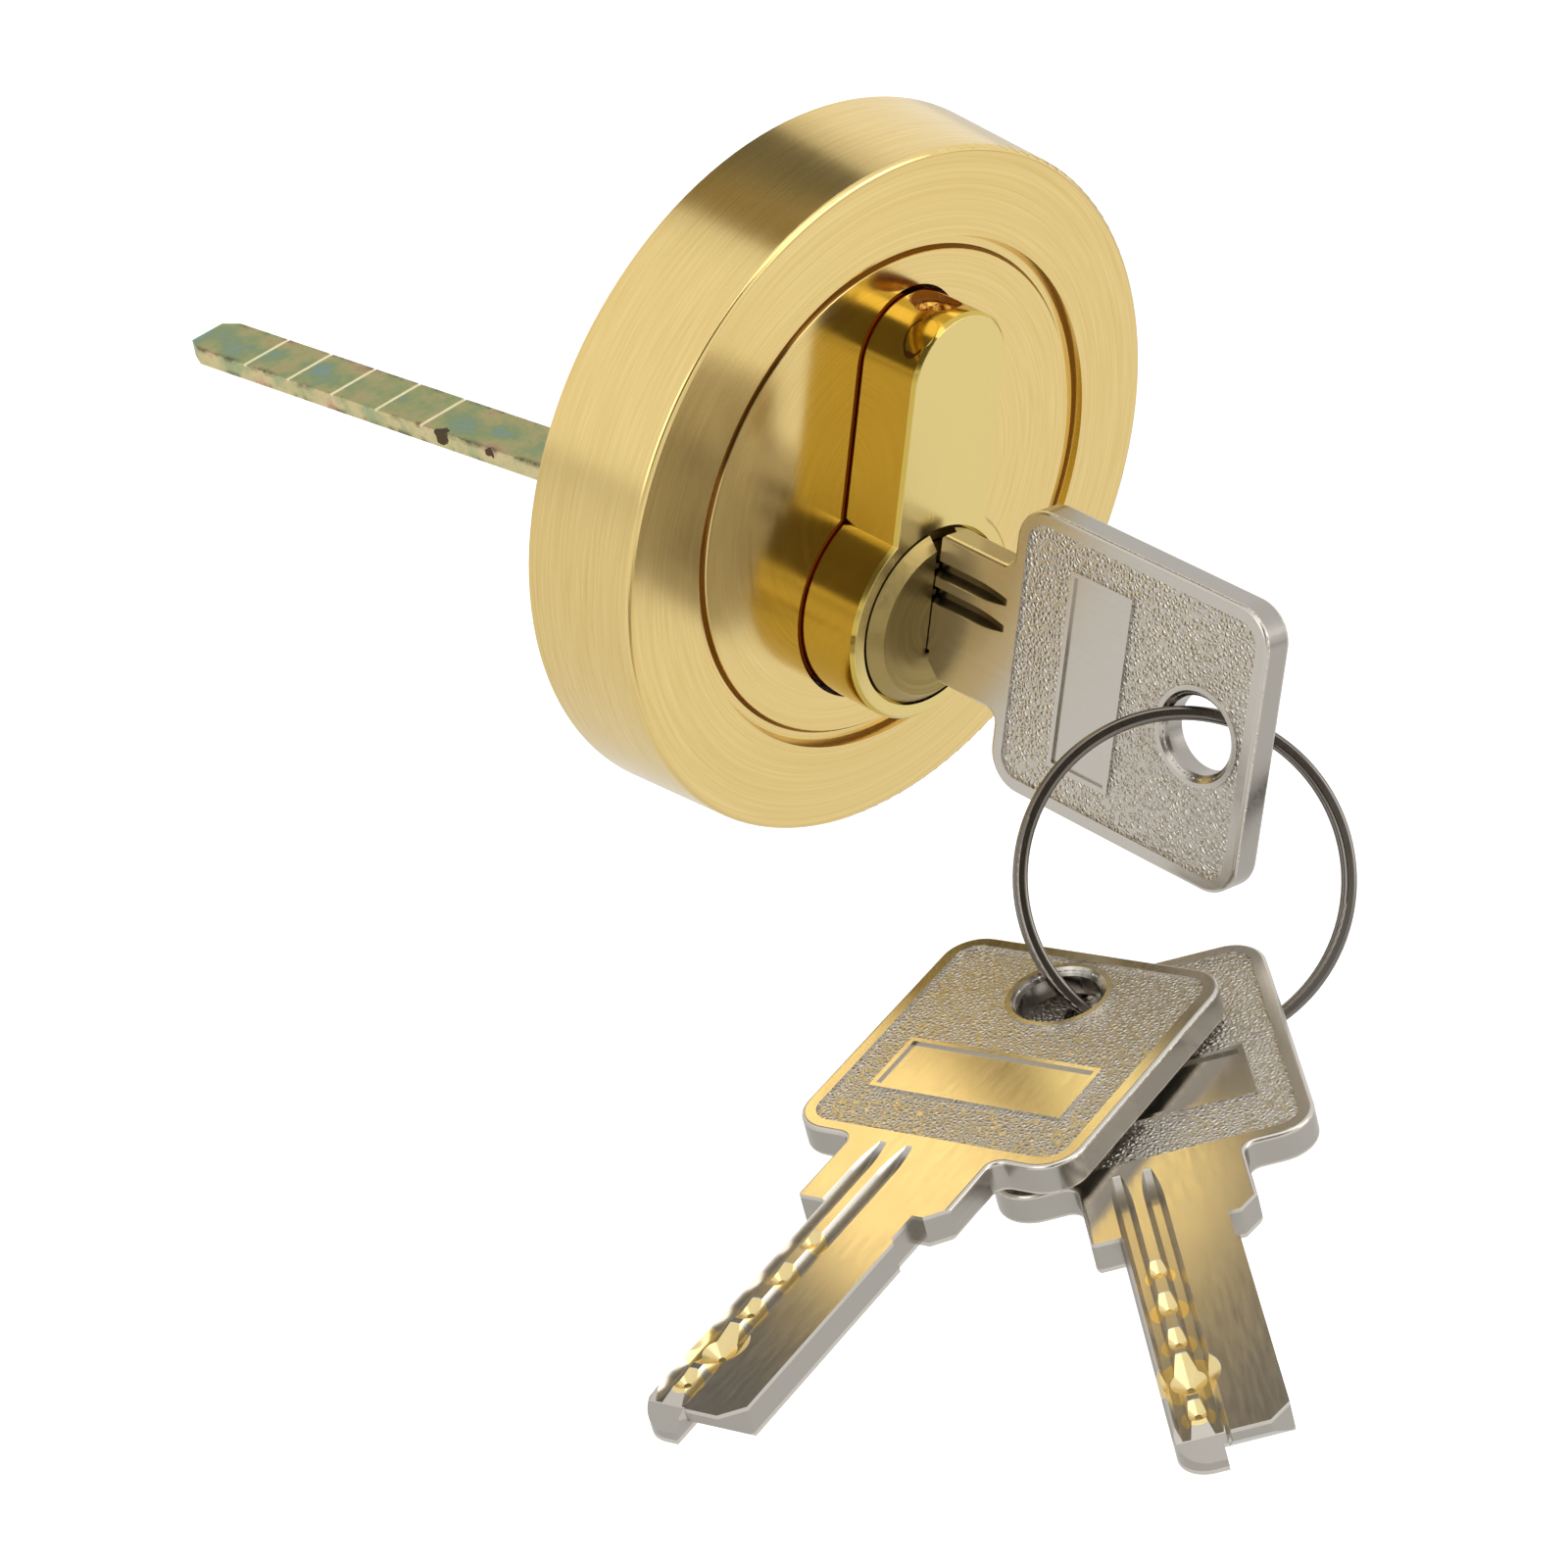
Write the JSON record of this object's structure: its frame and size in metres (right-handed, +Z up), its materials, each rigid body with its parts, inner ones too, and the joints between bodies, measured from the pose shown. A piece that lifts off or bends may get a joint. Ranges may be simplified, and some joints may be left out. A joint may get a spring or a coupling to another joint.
{
  "type": "outside door cylinder with rose, tail bar and keys",
  "caption": "Outside lock cylinder of a rim lock: round brass rose, profile cylinder nose, long scored tail bar, and keys on a split ring.",
  "frame": {"origin": "on the plug's axis in the plane of the door's face, which is the rose's rear edge", "axes": "+X right as seen from outside, +Y into the door along the plug's axis, +Z up towards the cylinder's fin"},
  "size_m": [0.0903, 0.1575, 0.0644],
  "materials": {
    "satin_brass": "satin, brushed round",
    "zinc_casting": "as cast zinc alloy",
    "spring_wire": "drawn spring steel",
    "black_steel": "blackened",
    "polished_brass": "polished sides, brushed face",
    "raw_brass": "dull, punched",
    "pin_brass": "turned",
    "pin_steel": "turned, hardened",
    "nickel_brass": "satin greenish brass",
    "zinc_steel": "zinc plated",
    "yellow_zinc": "yellow passivated zinc",
    "key_nickel": "nickel plated",
    "ring_nickel": "nickel plated"
  },
  "bodies": {
    "lock": {"rose": "satin_brass", "carrier": "zinc_casting", "rose_clip": "spring_wire", "cylinder_grub_screw": "black_steel", "cylinder_body": "polished_brass", "chamber_plugs": "raw_brass", "guard_pins": "polished_brass", "pin_spring_1": "spring_wire", "pin_spring_2": "spring_wire", "pin_spring_3": "spring_wire", "pin_spring_4": "spring_wire", "pin_spring_5": "spring_wire"},
    "turning_plug": {"plug": "nickel_brass", "tail_cap": "zinc_steel", "cap_lock_pin": "pin_steel", "cap_lock_spring": "spring_wire"},
    "tail": {"tail_bar": "yellow_zinc"},
    "key_in_lock": {"inserted_key": "key_nickel"},
    "ring": {"split_ring": "ring_nickel"},
    "lower_key": {"loose_key_lower": "key_nickel"},
    "upper_key": {"loose_key_upper": "key_nickel"},
    "key_pin_1_body": {"key_pin_1": "pin_brass"},
    "driver_1_body": {"driver_pin_1": "pin_steel"},
    "key_pin_2_body": {"key_pin_2": "pin_brass"},
    "driver_2_body": {"driver_pin_2": "pin_steel"},
    "key_pin_3_body": {"key_pin_3": "pin_brass"},
    "driver_3_body": {"driver_pin_3": "pin_steel"},
    "key_pin_4_body": {"key_pin_4": "pin_brass"},
    "driver_4_body": {"driver_pin_4": "pin_steel"},
    "key_pin_5_body": {"key_pin_5": "pin_brass"},
    "driver_5_body": {"driver_pin_5": "pin_steel"}
  },
  "joints": [
    {"name": "plug_turn", "type": "hinge", "parent": "lock", "child": "turning_plug", "pos_m": [0, -0.0152, 0], "axis": [0, 1, 0], "continuous": true},
    {"name": "tail_tilt", "type": "hinge", "parent": "turning_plug", "child": "tail", "pos_m": [0, 0.0112, -0.00088], "axis": [1, 0, 0], "range_deg": [0, 22]},
    {"name": "key_slide", "type": "slide", "parent": "turning_plug", "child": "key_in_lock", "axis": [0, -1, 0], "range_m": [0, 0.03]},
    {"name": "ring_swing", "type": "hinge", "parent": "key_in_lock", "child": "ring", "pos_m": [0, -0.0426, 0.00155], "axis": [1, 0, 0], "range_deg": [-15, 25]},
    {"name": "lower_key_swing", "type": "hinge", "parent": "ring", "child": "lower_key", "pos_m": [-0.00425, -0.0459, -0.00766], "axis": [0.5639, 0.6489, -0.5109], "range_deg": [-12, 12]},
    {"name": "upper_key_fan", "type": "hinge", "parent": "lower_key", "child": "upper_key", "pos_m": [-0.0149, -0.04484, -0.0154], "axis": [-0.2677, 0.1766, 0.9472], "range_deg": [-10, 10]},
    {"name": "key_pin_1_lift", "type": "slide", "parent": "turning_plug", "child": "key_pin_1_body", "axis": [0, 0, 1], "range_m": [0, 0.0002]},
    {"name": "driver_1_lift", "type": "slide", "parent": "lock", "child": "driver_1_body", "axis": [0, 0, 1], "range_m": [0, 0.001], "stiffness_N_per_m": 80, "springref_m": -0.004, "deforming": ["pin_spring_1"]},
    {"name": "key_pin_2_lift", "type": "slide", "parent": "turning_plug", "child": "key_pin_2_body", "axis": [0, 0, 1], "range_m": [0, 0.0002]},
    {"name": "driver_2_lift", "type": "slide", "parent": "lock", "child": "driver_2_body", "axis": [0, 0, 1], "range_m": [0, 0.001], "stiffness_N_per_m": 80, "springref_m": -0.004, "deforming": ["pin_spring_2"]},
    {"name": "key_pin_3_lift", "type": "slide", "parent": "turning_plug", "child": "key_pin_3_body", "axis": [0, 0, 1], "range_m": [0, 0.0002]},
    {"name": "driver_3_lift", "type": "slide", "parent": "lock", "child": "driver_3_body", "axis": [0, 0, 1], "range_m": [0, 0.001], "stiffness_N_per_m": 80, "springref_m": -0.004, "deforming": ["pin_spring_3"]},
    {"name": "key_pin_4_lift", "type": "slide", "parent": "turning_plug", "child": "key_pin_4_body", "axis": [0, 0, 1], "range_m": [0, 0.0002]},
    {"name": "driver_4_lift", "type": "slide", "parent": "lock", "child": "driver_4_body", "axis": [0, 0, 1], "range_m": [0, 0.001], "stiffness_N_per_m": 80, "springref_m": -0.004, "deforming": ["pin_spring_4"]},
    {"name": "key_pin_5_lift", "type": "slide", "parent": "turning_plug", "child": "key_pin_5_body", "axis": [0, 0, 1], "range_m": [0, 0.0002]},
    {"name": "driver_5_lift", "type": "slide", "parent": "lock", "child": "driver_5_body", "axis": [0, 0, 1], "range_m": [0, 0.001], "stiffness_N_per_m": 80, "springref_m": -0.004, "deforming": ["pin_spring_5"]}
  ]
}
